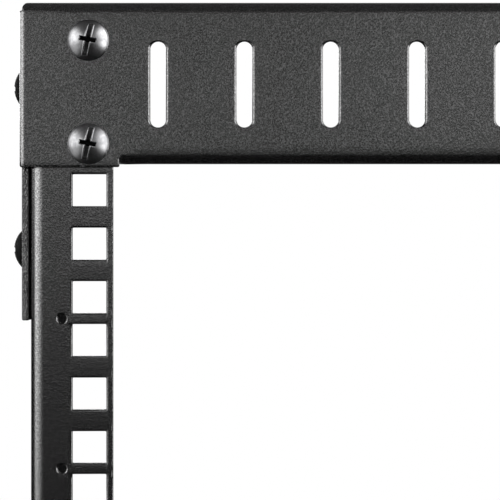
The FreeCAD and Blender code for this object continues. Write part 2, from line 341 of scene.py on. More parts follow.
class Hole:
    """A round or round-ended hole at a flat place, with the block of grid cells that it takes.

    Its outline at angle t is r cos(t), r sin(t), with the two halves moved apart along u or v by the half
    runs. dish holds rings around it as pairs of extra radius and depth, from the outermost to the hole
    itself. At the hole's top and foot the rings have the share ends of both, and at angle t they gain the
    rest by the square of cos(t).
    """

    def __init__(self, u, v, radius, block, half_run=(0.0, 0.0), dish=((0.0, 0.0),), ends=1.0):
        self.u, self.v, self.radius, self.half_run, self.dish, self.ends = u, v, radius, half_run, dish, ends
        self.block = ((u - block[0], u + block[0]), (v - block[1], v + block[1]))

    def ring(self, extra, depth):
        """Flat places round the hole at an extra radius, and their depths."""
        turn = 2 * math.pi * np.arange(HOLE_POINTS) / HOLE_POINTS
        step = math.sin(2 * math.pi / HOLE_POINTS)
        share = self.ends + (1 - self.ends) * np.cos(turn) ** 2
        radius = self.radius + extra * share
        u = self.u + radius * np.cos(turn) + self.half_run[0] * np.clip(np.cos(turn) / step, -1, 1)
        v = self.v + radius * np.sin(turn) + self.half_run[1] * np.clip(np.sin(turn) / step, -1, 1)
        return u, v, depth * share


def rolled(radius):
    """Rings of a rolled edge: at angle a, radius (1 - sin(a)) outside the hole, radius (1 - cos(a)) deep."""
    turn = np.linspace(0, math.pi / 2, 6)
    return tuple(zip(radius * (1 - np.sin(turn)), radius * (1 - np.cos(turn))))


def soft_step(value, width):
    """0 below 0, 1 above width, smooth between."""
    share = np.clip(value / width, 0, 1)
    return share * share * (3 - 2 * share)


def tidy_lines(values):
    """Sorted grid lines with near doubles taken out."""
    return np.unique(np.round(np.array(values, float), 7))


def lines_within(lines, half):
    """Those of the grid lines that are no farther from the middle than half."""
    return tidy_lines(lines[np.abs(lines) <= half + TINY])


def block_lines(holes, way):
    """Grid lines along the edges of the holes' blocks, along u (way 0) or v (way 1)."""
    return [edge for hole in holes for edge in hole.block[way]]


def middles_of(lines):
    """Middles between neighbouring grid lines."""
    return (lines[1:] + lines[:-1]) / 2


def grid_quads(index):
    """Four-sided faces between neighbours in a grid of point numbers."""
    return np.stack([index[:-1, :-1], index[1:, :-1], index[1:, 1:], index[:-1, 1:]], axis=-1)


def ring_quads(index):
    """Four-sided faces between neighbours in rows of point numbers that close into rings."""
    beside = np.roll(index, -1, axis=1)
    return np.stack([index[:-1], beside[:-1], beside[1:], index[1:]], axis=-1).reshape(-1, 4)


def sheet_patch(fold, u_lines, v_lines, holes=(), kept=None, shift=None, sink=None):
    """Part of a folded sheet on a grid of flat lengths and widths.

    A grid point is fold.place(u, v) at depth 0 for the outer face and at the sheet's thickness for the inner
    one. kept says which cells stay, shift moves flat places, sink sinks the outer face. Round a hole, its
    block of cells gives way to four faces from the block's sides to quarters of the hole's outline, then to
    the dish's rings.
    """
    thickness = bpy.context.scene.rack_sheet.thickness
    u, v = np.meshgrid(u_lines, v_lines, indexing="ij")
    index = np.arange(u.size).reshape(u.shape)
    u_middle, v_middle = np.meshgrid(middles_of(u_lines), middles_of(v_lines), indexing="ij")
    cells = np.ones(u_middle.shape, bool) if kept is None else kept(u_middle, v_middle)
    depth = np.zeros(u.shape) if sink is None else sink(u, v)
    flat_u, flat_v, depths, loops = [u.ravel()], [v.ravel()], [depth.ravel()], []
    count = u.size
    for hole in holes:
        (u0, u1), (v0, v1) = hole.block
        i0, i1 = np.searchsorted(u_lines, (u0 - TINY, u1 - TINY))
        j0, j1 = np.searchsorted(v_lines, (v0 - TINY, v1 - TINY))
        cells[i0:i1, j0:j1] = False
        block = index[i0:i1 + 1, j0:j1 + 1]
        sides = (block[:, 0], block[-1], block[::-1, -1], block[0, ::-1])
        rings = []
        for extra, depth in hole.dish:
            for values, ring in zip((flat_u, flat_v, depths), hole.ring(extra, depth)):
                values.append(ring)
            rings.append(count + np.arange(HOLE_POINTS))
            count += HOLE_POINTS
        for quarter, side in enumerate(sides):
            last = (2 * quarter - 1) * EIGHTH
            arc = np.arange(last, last - 2 * EIGHTH - 1, -1) % HOLE_POINTS
            loops.append(np.concatenate([side, rings[0][arc]]))
        loops.extend(ring_quads(np.array(rings)))
    flat_u, flat_v, depths = np.concatenate(flat_u), np.concatenate(flat_v), np.concatenate(depths)
    if shift is not None:
        flat_u, flat_v = shift(flat_u, flat_v)
    return {"outer": fold.place(flat_u, flat_v, depths),
            "inner": fold.place(flat_u, flat_v, np.full(flat_u.shape, thickness)),
            "loops": [*grid_quads(index)[cells], *loops]}


def sheet_solid(patches):
    """Points, faces and number of walls of the closed sheet that welded patches make.

    Points with the same outer place become one. The inner face is the outer one turned round, and a wall
    joins them along each edge that only one face has. The walls are the last faces.
    """
    pairs = np.concatenate([np.hstack([patch["outer"], patch["inner"]]) for patch in patches])
    offsets = np.cumsum([0] + [len(patch["outer"]) for patch in patches])
    loops = [loop + offset for patch, offset in zip(patches, offsets) for loop in patch["loops"]]
    places = np.round(pairs[:, :3] / TINY).astype(np.int64)
    _, first, same = np.unique(places, axis=0, return_index=True, return_inverse=True)
    sizes = np.array([len(loop) for loop in loops])
    used, flat = np.unique(same.ravel()[np.concatenate(loops)], return_inverse=True)
    flat = flat.ravel()
    pairs = pairs[first][used]
    ends = np.cumsum(sizes)
    following = np.arange(1, len(flat) + 1)
    following[ends - 1] = ends - sizes
    edges = np.stack([flat, flat[following]], axis=1)
    keys = edges.min(axis=1) * len(used) + edges.max(axis=1)
    _, where, counts = np.unique(keys, return_index=True, return_counts=True)
    rim = edges[where[counts == 1]]
    total = len(used)
    loops = np.split(flat, ends[:-1])
    faces = loops + [loop[::-1] + total for loop in loops]
    faces += list(np.stack([rim[:, 1], rim[:, 0], rim[:, 0] + total, rim[:, 1] + total], axis=1))
    return np.vstack([pairs[:, :3], pairs[:, 3:]]), faces, len(rim)


def turned_over(points):
    """Points half turned about the line along Y through the rack's middle."""
    return points * np.array([-1.0, 1.0, -1.0]) + np.array([0.0, 0.0, 2 * MIDDLE_Z])


def mirrored_across(points, faces):
    """Points mirrored to the rack's other side, with the faces turned round to point outwards."""
    return points * np.array([-1.0, 1.0, 1.0]), [face[::-1] for face in faces]


def joined(parts):
    """One set of points and faces from several."""
    offsets = np.cumsum([0] + [len(points) for points, _ in parts])
    faces = [face + offset for (_, some), offset in zip(parts, offsets) for face in some]
    return np.vstack([points for points, _ in parts]), faces


def add_piece(name, points, faces, material, slot, nodes=()):
    """Makes a smooth shaded object of points and faces, and sets it in the frame."""
    mesh = bpy.data.meshes.new(name)
    mesh.from_pydata(points.tolist(), [], [face.tolist() for face in faces])
    mesh.validate()
    mesh.polygons.foreach_set("use_smooth", np.ones(len(mesh.polygons), bool))
    mesh.materials.append(material)
    piece = bpy.data.objects.new(name, mesh)
    bpy.context.scene.collection.objects.link(piece)
    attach(piece, "root")
    if nodes:
        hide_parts(*nodes)
    return piece


def add_sheet(node, points, faces, walls, edge, segments):
    """Makes the coated sheet that stands for a node, with its cut edges marked and rounded."""
    piece = add_piece(f"{node}_sheet", points, faces, powder_coat(), "powder_coat", [node])
    count = len(piece.data.polygons)
    cut = piece.data.attributes.new("cut", "FLOAT", "FACE")
    cut.data.foreach_set("value", (np.arange(count) >= count - walls).astype(np.float32))
    bevel = piece.modifiers.new("cut edges", "BEVEL")
    bevel.width, bevel.segments = edge, segments
    bevel.limit_method, bevel.angle_limit = "ANGLE", math.radians(38)
    bevel.use_clamp_overlap = False
    piece.modifiers.new("flat faces", "WEIGHTED_NORMAL").keep_sharp = False


def add_pair(nodes, solid, edge, segments):
    """Makes a sheet of points, faces and walls, and its like half turned about the rack's middle."""
    points, faces, walls = solid
    for node, place in zip(nodes, (points, turned_over(points))):
        add_sheet(node, place, faces, walls, edge, segments)


class Wire:
    """A shader socket in an expression: arithmetic between sockets and numbers adds Math nodes."""

    def __init__(self, shader, socket):
        self.shader, self.socket = shader, socket

    def _math(self, operation, first, second):
        return self.shader.node("ShaderNodeMath", {"operation": operation}, {0: first, 1: second})

    def __add__(self, other):
        return self._math("ADD", self, other)

    def __radd__(self, other):
        return self._math("ADD", other, self)

    def __sub__(self, other):
        return self._math("SUBTRACT", self, other)

    def __rsub__(self, other):
        return self._math("SUBTRACT", other, self)

    def __mul__(self, other):
        return self._math("MULTIPLY", self, other)

    def __rmul__(self, other):
        return self._math("MULTIPLY", other, self)


class Shader:
    """The node tree of one material or of the world."""

    def __init__(self, owner):
        owner.use_nodes = True
        self.tree = owner.node_tree
        self.tree.nodes.clear()

    def node(self, kind, settings=None, inputs=None, output=0):
        """Adds a node, sets its settings, then its sockets' values or links, and gives one of its outputs."""
        made = self.tree.nodes.new(kind)
        for key, value in (settings or {}).items():
            setattr(made, key, value)
        for key, value in (inputs or {}).items():
            if isinstance(value, Wire):
                self.tree.links.new(value.socket, made.inputs[key])
            else:
                made.inputs[key].default_value = value
        return Wire(self, made.outputs[output]) if made.outputs else None

    def noise(self, place, scale, detail, roughness=0.5):
        """Cloudy noise from 0 to 1, with as many waves in a metre as the scale says."""
        return self.node("ShaderNodeTexNoise", {},
                         {"Vector": place, "Scale": scale, "Detail": detail, "Roughness": roughness})

    def value_of(self, attribute):
        """A value that the piece keeps at its points or faces."""
        return self.node("ShaderNodeAttribute", {"attribute_name": attribute}, {}, "Fac")

    def ray(self, kind):
        """1 for rays of a kind, and 0 for others."""
        return self.node("ShaderNodeLightPath", output=kind)

    def looked_at(self):
        """1 for the camera's own rays and those that come through glass, and 0 for others."""
        return self.ray("Is Camera Ray") + self.ray("Is Transmission Ray")

    def mix(self, share, first, second):
        """A colour between two colours."""
        return self.node("ShaderNodeMix", {"data_type": "RGBA"}, {0: share, 6: first, 7: second}, 2)

    def step(self, value, low, high):
        """0 below low, 1 above high, smooth between."""
        return self.node("ShaderNodeMapRange", {"interpolation_type": "SMOOTHSTEP"},
                         {"Value": value, "From Min": low, "From Max": high})


def opaque(colour):
    """A colour with full alpha."""
    return (*colour, 1.0)


def grey(level):
    """A grey of one level with full alpha."""
    return (level, level, level, 1.0)


def powder_coat():
    """Black powder coat: a fine leathery grain with glossier crests, and torn cut edges."""
    made = bpy.data.materials.get("powder_coat_black")
    if made:
        return made
    finish = bpy.context.scene.rack_finish
    made = bpy.data.materials.new("powder_coat_black")
    shader = Shader(made)
    place = shader.node("ShaderNodeTexCoord", output="Object")
    cells = shader.node("ShaderNodeTexVoronoi", {"feature": "SMOOTH_F1"},
                        {"Vector": place, "Scale": finish.grain_scale * 0.8, "Smoothness": 0.5})
    height = shader.noise(place, finish.grain_scale, 1.0) * 0.65 + cells * 0.5
    crest = shader.step(height, 0.42, 0.77)
    colour = shader.mix(crest, opaque(finish.coat_dark), opaque(finish.coat_light))
    torn = shader.value_of("cut") * shader.noise(place, TEAR_SCALE, 2.0) * TEAR_HEIGHT
    bump = shader.node("ShaderNodeBump", {},
                       {"Strength": 1.0, "Distance": finish.grain_height, "Height": height + torn})
    bloom = shader.noise(place, BLOOM_SCALE, 3.0) * BLOOM_RANGE - BLOOM_RANGE / 2
    hollow, bright = (shader.node("ShaderNodeBsdfPrincipled", {},
                                  {"Base Color": colour, "Roughness": rough + bloom, "Normal": bump,
                                   "IOR": 1.6, "Specular IOR Level": gloss})
                      for rough, gloss in ((finish.hollow_roughness, finish.hollow_gloss),
                                           (finish.crest_roughness, 1.0)))
    surface = shader.node("ShaderNodeMixShader", {}, {0: crest, 1: hollow, 2: bright})
    shader.node("ShaderNodeOutputMaterial", {}, {"Surface": surface})
    return made


def screw_steel():
    """Dark plated steel with faint streaks and dull spots, black by its own attribute: painted slot shade,
    black plating.
    """
    made = bpy.data.materials.get("screw_steel_plated")
    if made:
        return made
    finish = bpy.context.scene.rack_finish
    made = bpy.data.materials.new("screw_steel_plated")
    shader = Shader(made)
    place = shader.node("ShaderNodeTexCoord", output="Object")
    recess_shade_and_black = shader.value_of("recess_shade_and_black")
    streaks = shader.noise(place, STREAK_SCALE, 3.0, 0.6)
    worn = shader.step(streaks * 0.5 + shader.noise(place, DULL_SCALE, 2.0) * 0.5, 0.42, 0.62)
    plated = shader.mix(worn, opaque(finish.steel_light), opaque(finish.steel_dark))
    rough = finish.steel_roughness - 0.04 + worn * 0.10 + recess_shade_and_black * 0.4
    bump = shader.node("ShaderNodeBump", {}, {"Strength": 0.5, "Distance": 0.00002, "Height": streaks})
    # Painted shade: the drive slots turn nearly black, as do screws with black plating.
    surface = shader.node("ShaderNodeBsdfPrincipled", {},
                          {"Base Color": shader.mix(recess_shade_and_black, plated, grey(0.006)), "Roughness": rough,
                           "Metallic": 1.0, "Normal": bump})
    shader.node("ShaderNodeOutputMaterial", {}, {"Surface": surface})
    return made


def column_x():
    """Distance of the square holes' columns from the rack's middle plane."""
    return RAIL_EDGE + bpy.context.scene.rack_holes.column_inset


def front_screw_heights():
    """Heights of the two screws in each end of the upper front plate."""
    holes = bpy.context.scene.rack_holes
    low = PLATE_LOW + holes.front_screw_edge
    return (low, low + holes.front_screw_pitch)


def screw_hole(u, v, block=SCREW_BLOCK):
    """A hole for one of the rack's own screws at a flat place."""
    return Hole(u, v, bpy.context.scene.rack_holes.screw_radius, block)


def plate_holes(wrap):
    """Holes of the upper front plate: slots and screws in its face, side and arm screws in both flanges."""
    sizes = bpy.context.scene.rack_holes
    half_run = sizes.slot_length / 2 - sizes.slot_radius
    face = SIDE_X - wrap.radius
    depth = PLATE_MAX[1] - FRONT_Y
    arm = sizes.arm_screw_depth
    flange_screws = ((sizes.side_screw_depth, 0.0), (sizes.side_screw_depth, -sizes.side_screw_pitch),
                     (arm, 0.0), (arm + sizes.arm_screw_pitch, 0.0))
    found = []
    for side in (-1, 1):
        for number in range(sizes.slots_per_side):
            x = side * (column_x() - sizes.first_slot - number * sizes.slot_pitch)
            found.append(Hole(wrap.at(1, x + face), 0.0, sizes.slot_radius, SLOT_BLOCK, (0.0, half_run),
                              rolled(sizes.slot_roll), SLOT_END_ROLL))
        found += [screw_hole(wrap.at(1, side * column_x() + face), z) for z in front_screw_heights()]
        found += [screw_hole(depth - back if side < 0 else wrap.length - (depth - back), z)
                  for back, z in flange_screws]
    return found


def plate_wrap(sheet, wrap):
    """The plate's face, side bends, side flanges and ears.

    Below the plate only the flanges go on, as ears: their back edge leans forwards in step with the drop, and
    places nearer the front than the side screws stay.
    """
    holes = plate_holes(wrap)
    inner_half, inner_start = inner_bend(sheet)
    face = SIDE_X - wrap.radius
    depth = PLATE_MAX[1] - FRONT_Y
    hinge = depth - bpy.context.scene.rack_holes.side_screw_depth - SCREW_BLOCK[0]
    drop = PLATE_LOW - PLATE_MIN[2]
    ear_front = depth - sheet.ear_setback
    inner_ends = np.append(inner_half - np.linspace(0, INNER_LEAD_GROWTH, 5), RAIL_EDGE)
    u_lines = wrap.lines([*block_lines(holes, 0), ear_front, wrap.length - ear_front,
                          *wrap.at(1, face - inner_ends), *wrap.at(1, face + inner_ends)])
    face_end, side_end = PLATE_TOP - sheet.top_radius, PLATE_TOP - sheet.side_drop
    lead = np.linspace(0, 1, 7)
    v_lines = tidy_lines([*block_lines(holes, 1), PLATE_MIN[2], PLATE_LOW, side_end,
                          *(inner_start + sheet.inner_lead[0] * lead),
                          *(face_end - sheet.top_lead[0] * lead)])

    def kept(u, v):
        across = np.abs(u - wrap.length / 2)
        on_ear = across > wrap.length / 2 - ear_front
        low = np.where(across < inner_half, inner_start, np.where(on_ear, PLATE_MIN[2], PLATE_LOW))
        return (v > low) & (v < np.where(across < face, face_end, side_end))

    def shift(u, v):
        fallen = np.clip((PLATE_LOW - v) / drop, 0, 1)
        from_back = np.minimum(u, wrap.length - u)
        lean = fallen * (depth - sheet.ear_depth) * np.clip(1 - from_back / hinge, 0, 1)
        return np.where(u < wrap.length / 2, u + lean, u - lean), v

    def sink(u, v):
        return plate_lead(sheet, u - wrap.length / 2, v)

    return sheet_patch(wrap, u_lines, v_lines, holes, kept, shift, sink), u_lines - wrap.at(1, face)


def inner_bend(sheet):
    """Half the length of the inner flange, and the height at which its bend starts."""
    return RAIL_EDGE - sheet.inner_gap, PLATE_LOW + sheet.inner_rise + sheet.inner_radius


def plate_lead(sheet, x, z):
    """How far the plate's face leans back before its top and inner bends.

    It is the lead's depth times the square of the share of its length. Leads grow from nothing at their ends.
    """
    inner_half, inner_start = inner_bend(sheet)
    (top_reach, top_depth), (inner_reach, inner_depth) = sheet.top_lead, sheet.inner_lead
    top = np.clip((z - PLATE_TOP + sheet.top_radius) / top_reach + 1, 0, 1)
    inner = np.clip((inner_start - z) / inner_reach + 1, 0, 1)
    return (top_depth * top ** 2 * soft_step(SIDE_X - sheet.side_radius - np.abs(x), TOP_LEAD_GROWTH)
            + inner_depth * inner ** 2 * soft_step(inner_half - np.abs(x), INNER_LEAD_GROWTH))


def plate_outer_flange(sheet, wrap, x_lines):
    """The plate's top edge: a strip bent back from the face, with ends slanted in by the mitre.

    At share s of the way up the bend, its ends reach out by the flare times the sine of half a turn times the
    root of s. Between the rails nothing moves.
    """
    radius = sheet.top_radius
    face = SIDE_X - wrap.radius
    origin = (0, FRONT_Y + sheet.outer_flange, PLATE_TOP)
    fold = Fold(origin, -Y_AXIS, -Z_AXIS, (sheet.outer_flange - radius, 0), radius)

    def shift(u, v):
        back = np.clip(fold.runs[0] - u, 0, None)
        risen = np.clip((fold.length - u - TINY) / fold.quarter, 0, 1)
        half = face - back * math.tan(sheet.outer_mitre) + sheet.top_flare * np.sin(math.pi * np.sqrt(risen))
        past = np.clip(np.abs(v) - RAIL_EDGE, 0, None)
        moved = np.minimum(np.abs(v), RAIL_EDGE) + past * (half - RAIL_EDGE) / (face - RAIL_EDGE)
        return u, np.sign(v) * moved

    def sink(u, v):
        return plate_lead(sheet, v, PLATE_TOP - radius)

    return sheet_patch(fold, fold.lines(), lines_within(x_lines, face), shift=shift, sink=sink)


def plate_inner_flange(sheet, x_lines):
    """The plate's edge beside the equipment: a strip bent back from the face between the rails."""
    inner_half, inner_start = inner_bend(sheet)
    radius = sheet.inner_radius
    fold = Fold((0, FRONT_Y, inner_start), -Z_AXIS, Y_AXIS, (0, sheet.inner_flange - radius), radius)

    def sink(u, v):
        return plate_lead(sheet, v, inner_start)

    return sheet_patch(fold, fold.lines(), lines_within(x_lines, inner_half), sink=sink)


def front_plate():
    """Points and faces of the upper front plate."""
    sheet = bpy.context.scene.rack_sheet
    radius = sheet.side_radius
    depth = PLATE_MAX[1] - FRONT_Y
    tuck = max(0.0, 1 + (TIGHT_BEND - radius) / sheet.thickness)
    runs = (depth - radius, 2 * (SIDE_X - radius), depth - radius)
    wrap = Fold((-SIDE_X, PLATE_MAX[1], 0), -Y_AXIS, X_AXIS, runs, radius, tuck)
    face, x_lines = plate_wrap(sheet, wrap)
    return sheet_solid([face, plate_outer_flange(sheet, wrap, x_lines), plate_inner_flange(sheet, x_lines)])


def square_heights(unit):
    """Heights of the middles of a rail's square holes, three in each unit."""
    holes = bpy.context.scene.rack_holes
    first = MIDDLE_Z + holes.units * unit / 2 - holes.unit_end_step / 2
    return (first - np.add.outer(unit * np.arange(holes.units), holes.hole_step * np.arange(3))).ravel()


def rail():
    """Points and faces of the left rail: a lip, a web and a perforated front on one folded sheet.

    Square holes are cells left out. Beside each one the narrow strip is crowned: s being the share of its
    width from the hole's side and c that of the crown, it sinks by the roll times the square of (c - s) / c
    before the crown, and by half of the roll times the square of (s - c) / (1 - c) past it. It is flat again
    a little above and below the hole.
    """
    sheet, sizes = bpy.context.scene.rack_sheet, bpy.context.scene.rack_holes
    radius = sheet.frame_radius
    width = -RAIL_MIN[0] - RAIL_EDGE
    depth = RAIL_MAX[1] - RAIL_MIN[1]
    runs = (sheet.rail_lip - radius, depth - 2 * radius, width - radius)
    fold = Fold((RAIL_MIN[0] + sheet.rail_lip, RAIL_MAX[1], 0), -X_AXIS, -Y_AXIS, runs, radius)

    def across(x):
        return fold.at(2, x - RAIL_MIN[0] - radius)

    unit = sizes.unit_end_step + 2 * sizes.hole_step
    middles = square_heights(unit)
    marks = MIDDLE_Z + unit * (np.arange(1, sizes.units) - sizes.units / 2)
    half = sizes.square_width / 2
    left, right = -column_x() - half, -column_x() + half
    holes = [Hole(across(-column_x() - sizes.mark_offset), z, sizes.mark_radius, MARK_BLOCK, dish=MARK_DISH)
             for z in marks]
    web_u = fold.at(1, RAIL_MAX[1] - radius - FRONT_Y - sizes.side_screw_depth)
    for turn, base in ((1, 0.0), (-1, 2 * MIDDLE_Z)):
        holes += [screw_hole(across(-column_x()), base + turn * z, (half, half))
                  for z in front_screw_heights()]
        holes += [screw_hole(web_u, base + turn * z) for z in (0.0, -sizes.side_screw_pitch)]
    tops, lows = middles + sizes.square_height / 2, middles - sizes.square_height / 2
    strip = right + (RAIL_MAX[0] - right) * np.linspace(0.1, 0.9, 9)
    edges = (left - STRIP_FADE, left, right, *strip)
    u_lines = fold.lines(block_lines(holes, 0) + [across(x) for x in edges])
    v_lines = tidy_lines([*block_lines(holes, 1), *tops, *lows, *(tops + STRIP_FADE), *(lows - STRIP_FADE),
                          RAIL_MIN[2], RAIL_MAX[2]])

    def past_square(v):
        return np.abs(v[..., None] - middles).min(axis=-1) - sizes.square_height / 2

    def kept(u, v):
        return (u < across(left)) | (u > across(right)) | (past_square(v) > 0)

    def sink(u, v):
        share = np.clip((u - across(right)) / (fold.length - across(right)), 0, 1)
        crown = np.where(share < STRIP_CROWN, (1 - share / STRIP_CROWN) ** 2,
                         ((share - STRIP_CROWN) / (1 - STRIP_CROWN)) ** 2 / 2)
        near = 1 - soft_step(np.clip(past_square(v), 0, None), STRIP_FADE)
        return np.where(u > across(right) - TINY, sheet.strip_roll * crown, 0) * near

    return sheet_solid([sheet_patch(fold, u_lines, v_lines, holes, kept, sink=sink)])


def depth_arm():
    """Points and faces of the upper left depth arm: a top flange and a web on one folded sheet."""
    sheet, sizes = bpy.context.scene.rack_sheet, bpy.context.scene.rack_holes
    radius = sheet.frame_radius
    flange, height = ARM_MAX[0] - ARM_MIN[0], ARM_MAX[2] - ARM_MIN[2]
    fold = Fold(ARM_MAX, -X_AXIS, -Z_AXIS, (flange - radius, height - radius), radius)
    front, rear = FRONT_Y + sizes.arm_screw_depth, -sizes.wall_screw_depth
    holes = [screw_hole(fold.at(1, ARM_MAX[2] - radius), ARM_MAX[1] - y)
             for y in (front, front + sizes.arm_screw_pitch, rear, rear - sizes.wall_screw_pitch)]
    v_lines = tidy_lines(block_lines(holes, 1) + [0.0, ARM_MAX[1] - ARM_MIN[1]])
    return sheet_solid([sheet_patch(fold, fold.lines(block_lines(holes, 0)), v_lines, holes)])


def wall_bar():
    """Points and faces of the upper wall bar: a slotted back with a tab at each end and a flange below."""
    sheet, sizes = bpy.context.scene.rack_sheet, bpy.context.scene.rack_holes
    radius = sheet.frame_radius
    tab, half_x, half_z = -BAR_MIN[1], BAR_MAX[0], BAR_MAX[2]
    runs = (tab - radius, 2 * (half_x - radius), tab - radius)
    fold = Fold((half_x, -tab, 0), Y_AXIS, -X_AXIS, runs, radius)
    flange_half = half_x - radius - sheet.bar_flange_gap
    half_run = sizes.stud_length / 2 - sizes.stud_radius
    middle = fold.length / 2
    holes = [Hole(middle + side * sizes.stud_spacing / 2, 0.0, sizes.stud_radius, STUD_BLOCK, (half_run, 0.0))
             for side in (-1, 1)]
    for y in (-sizes.wall_screw_depth, -sizes.wall_screw_depth - sizes.wall_screw_pitch):
        holes += [screw_hole(u, 0.0) for u in (tab + y, fold.length - tab - y)]
    u_lines = fold.lines(block_lines(holes, 0) + [middle - flange_half, middle + flange_half])
    v_lines = tidy_lines(block_lines(holes, 1) + [-half_z, radius - half_z, half_z])

    def kept(u, v):
        return (np.abs(u - middle) > flange_half) | (v > radius - half_z)

    foot = Fold((0, -sheet.bar_flange, -half_z), Y_AXIS, Z_AXIS, (sheet.bar_flange - radius, 0), radius)
    return sheet_solid([sheet_patch(fold, u_lines, v_lines, holes, kept),
                        sheet_patch(foot, foot.lines(), lines_within(u_lines - middle, flange_half))])


def head_field(steps, tilt):
    """Places across a head, heights over its seat and shares of painted shade in its drive slots, on a square
    grid drawn onto a disc.

    A square's (a, b) goes to a sqrt(1 - b b / 2), b sqrt(1 - a a / 2). The height is a cap of a sphere over
    a straight skirt, rounded off at the rim, less the drive: a long shallow slot that leans by the tilt, a
    short deep one across it and a round pit at the crossing, with flat floors. A burr runs along the long one.
    """
    sizes = bpy.context.scene.rack_screws
    a, b = np.meshgrid(np.linspace(-1, 1, steps), np.linspace(-1, 1, steps), indexing="ij")
    x = sizes.head_radius * a * np.sqrt(1 - b * b / 2)
    y = sizes.head_radius * b * np.sqrt(1 - a * a / 2)
    ball = (sizes.head_radius ** 2 + sizes.dome_height ** 2) / (2 * sizes.dome_height)
    top = sizes.dome_height + sizes.skirt_height
    dome = np.sqrt(np.clip(ball ** 2 - x * x - y * y, 0, None)) - ball + top
    along = np.abs(x * math.sin(tilt) + y * math.cos(tilt))
    aside = np.abs(x * math.cos(tilt) - y * math.sin(tilt))
    blur = 2.2 * sizes.head_radius / steps

    def slot(across, width, ahead, run):
        return soft_step(width / 2 + blur / 2 - across, blur) * soft_step(run / 2 - ahead, blur)

    long_slot = slot(aside, sizes.drive_width, along, sizes.drive_length)
    short_slot = slot(along, sizes.cross_width, aside, sizes.cross_length)
    pit = soft_step(sizes.pit_radius + blur / 2 - np.hypot(x, y), blur)
    deep = np.maximum(short_slot, pit)
    # Where the drive is cut, the part that also takes the painted shade; the burr stays off it.
    recess_shade_and_black = np.maximum(long_slot, deep)
    burr = np.exp(-((aside - sizes.drive_width / 2 - BURR_PLACE) / BURR_WIDTH) ** 2)
    burr = burr * (along < sizes.drive_length / 2)
    rim = np.clip((np.hypot(x, y) - sizes.head_radius + sizes.rim_radius) / sizes.rim_radius, 0, 1)
    dome = dome - sizes.rim_radius * (1 - np.sqrt(1 - rim * rim)) * 0.8
    height = dome + sizes.burr_height * burr * (1 - recess_shade_and_black)
    height = height + (np.minimum(dome, top - sizes.slot_depth) - height) * long_slot
    height = height + (np.minimum(dome, top - sizes.drive_depth) - height) * deep
    # The last value is the painted shade: full in the short slot and the pit, 0.85 of it in the long slot.
    return x, y, height, np.maximum(0.85 * long_slot, deep)


def screw_head(seat, out, steps, tilt):
    """A closed head on its seat: the height field, a skirt down to the seat and an underside."""
    right = np.cross(Z_AXIS, out)
    x, y, height, recess_shade_and_black = head_field(steps, tilt)
    top = seat + np.multiply.outer(x, right) + np.multiply.outer(y, Z_AXIS) + np.multiply.outer(height, out)
    index = np.arange(steps * steps).reshape(steps, steps)
    quads = grid_quads(index).reshape(-1, 4)
    ring = np.concatenate([index[:-1, 0], index[-1, :-1], index[:0:-1, -1], index[0, :0:-1]])
    low = steps * steps + np.arange(len(ring))
    skirt = ring_quads(np.stack([low, ring]))
    rim = top.reshape(-1, 3)[ring] - np.multiply.outer(height.ravel()[ring], out)
    points = np.vstack([top.reshape(-1, 3), rim])
    # The last array is the painted shade of the drive slots, none on the skirt's lower ring.
    return points, [*quads, *skirt, low[::-1]], np.append(recess_shade_and_black.ravel(), np.zeros(len(ring)))


def revolved(seat, out, profile, turns, radius_at=None):
    """A closed ring or rod: profile rows of radius and height carried round the screw's line.

    radius_at, if given, changes the radii of all rows at all angles at once.
    """
    right = np.cross(Z_AXIS, out)
    angle = 2 * math.pi * np.arange(turns) / turns
    radius, height = np.broadcast_to(profile[:, :1], (len(profile), turns)), profile[:, 1:]
    if radius_at is not None:
        radius = radius_at(radius, np.broadcast_to(height, radius.shape), angle)
    ring = np.multiply.outer(np.cos(angle), right) + np.multiply.outer(np.sin(angle), Z_AXIS)
    points = seat + radius[..., None] * ring + height[..., None] * out
    index = np.arange(points.shape[0] * turns).reshape(-1, turns)
    return points.reshape(-1, 3), index, list(ring_quads(index))


def threaded_shank(seat, out, depth):
    """A rod from the head to past the nut, whose radius saws by three tenths of the pitch along a helix."""
    sizes = bpy.context.scene.rack_screws
    end = depth + sizes.nut_height + sizes.end_length
    heights = -np.linspace(end, 0, 8 * int(round(end / sizes.thread_pitch)) + 1)

    def thread(radius, height, angle):
        turn = np.mod(height / sizes.thread_pitch - angle / (2 * math.pi), 1)
        tooth = np.abs(2 * turn - 1) * 0.3 * sizes.thread_pitch
        taper = np.clip((end + height) / sizes.thread_pitch, 0, 1) * END_TAPER
        return radius - tooth - END_TAPER + taper

    profile = np.stack([np.full(heights.shape, sizes.shank_radius), heights], axis=1)
    points, index, quads = revolved(seat, out, profile, 32, thread)
    return points, quads + [index[0][::-1], index[-1]]


def hex_nut(seat, out, depth, turn):
    """A six-sided nut under the sheets, with its corners turned down to cones and a chamfered bore."""
    sizes = bpy.context.scene.rack_screws
    flat, bore = sizes.nut_width / 2, sizes.shank_radius - NUT_FIT
    far, near = -depth - sizes.nut_height, -depth
    mouth, cone = bore + BORE_CHAMFER[0], NUT_CONE * flat
    rows = [(bore, far + BORE_CHAMFER[1]), (mouth, far), (cone, far), (2 * flat, far + NUT_CHAMFER),
            (2 * flat, near - NUT_CHAMFER), (cone, near), (mouth, near), (bore, near - BORE_CHAMFER[1]),
            (bore, far + BORE_CHAMFER[1])]

    def hexagon(radius, height, angle):
        corner = np.mod(angle + turn, math.pi / 3) - math.pi / 6
        edge = np.minimum(height - far, near - height)
        side = np.minimum(flat / np.cos(corner), cone + NUT_CONE_SLOPE * edge)
        return np.where(radius > 1.5 * flat, side, radius)

    points, _, quads = revolved(seat, out, np.array(rows), 72, hexagon)
    return points, quads


def tilt_of(number):
    """Lean of a screw's slot: that of the setting for the first two, then spread by the golden angle."""
    return bpy.context.scene.rack_screws.tilt + math.radians(137.508) * max(number - 1, 0)


